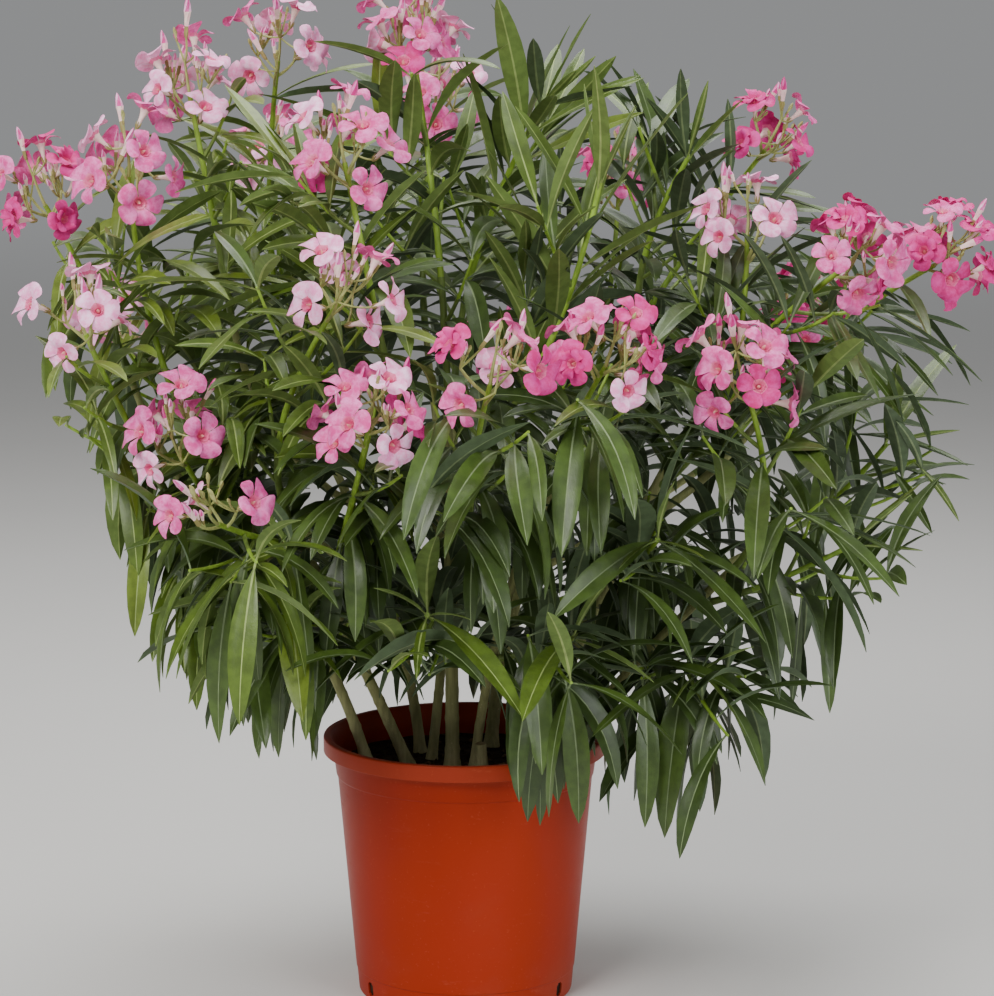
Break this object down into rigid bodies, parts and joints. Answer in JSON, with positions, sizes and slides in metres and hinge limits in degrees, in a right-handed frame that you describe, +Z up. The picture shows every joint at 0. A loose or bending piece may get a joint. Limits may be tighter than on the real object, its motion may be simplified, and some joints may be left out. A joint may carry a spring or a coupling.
{
  "type": "potted oleander",
  "caption": "Flowering oleander shrub, a clump of leaning canes under a wide leafy crown with pink blossom clusters, standing in a tapered plastic nursery pot with a turned-out lip.",
  "frame": {"origin": "middle of the pot's flat underside", "axes": "+Z up along the pot's axis, -Y the front of the plant, +X to the right seen from the front"},
  "size_m": [0.9127, 0.7611, 0.9193],
  "materials": {
    "pot_plastic": "satin",
    "compost": "matte",
    "bark": "matte",
    "foliage": "satin"
  },
  "bodies": {
    "root": {"pot": "pot_plastic", "soil": "compost", "stem_1": "bark", "stem_2": "bark", "stem_3": "bark", "stem_4": "bark", "stem_5": "bark", "stem_6": "bark", "stem_7": "bark", "stem_8": "bark", "stem_9": "bark", "bough_01": "bark", "bough_02": "bark", "bough_03": "bark", "bough_04": "bark", "bough_05": "bark", "bough_06": "bark", "bough_07": "bark", "bough_08": "bark", "bough_09": "bark", "bough_10": "bark", "bough_11": "bark", "foliage_01": "foliage", "foliage_02": "foliage", "foliage_03": "foliage", "foliage_04": "foliage", "foliage_05": "foliage", "foliage_06": "foliage", "foliage_07": "foliage", "foliage_08": "foliage", "foliage_09": "foliage", "foliage_10": "foliage", "foliage_11": "foliage", "foliage_12": "foliage", "foliage_13": "foliage", "foliage_14": "foliage", "foliage_15": "foliage", "foliage_16": "foliage", "foliage_17": "foliage", "foliage_18": "foliage", "foliage_19": "foliage", "foliage_20": "foliage", "foliage_21": "foliage", "foliage_22": "foliage", "foliage_23": "foliage", "foliage_24": "foliage", "foliage_25": "foliage", "foliage_26": "foliage", "foliage_27": "foliage", "foliage_28": "foliage", "foliage_29": "foliage", "foliage_30": "foliage", "foliage_31": "foliage", "foliage_32": "foliage", "foliage_33": "foliage", "foliage_34": "foliage", "foliage_35": "foliage", "foliage_36": "foliage", "foliage_37": "foliage"}
  },
  "joints": []
}
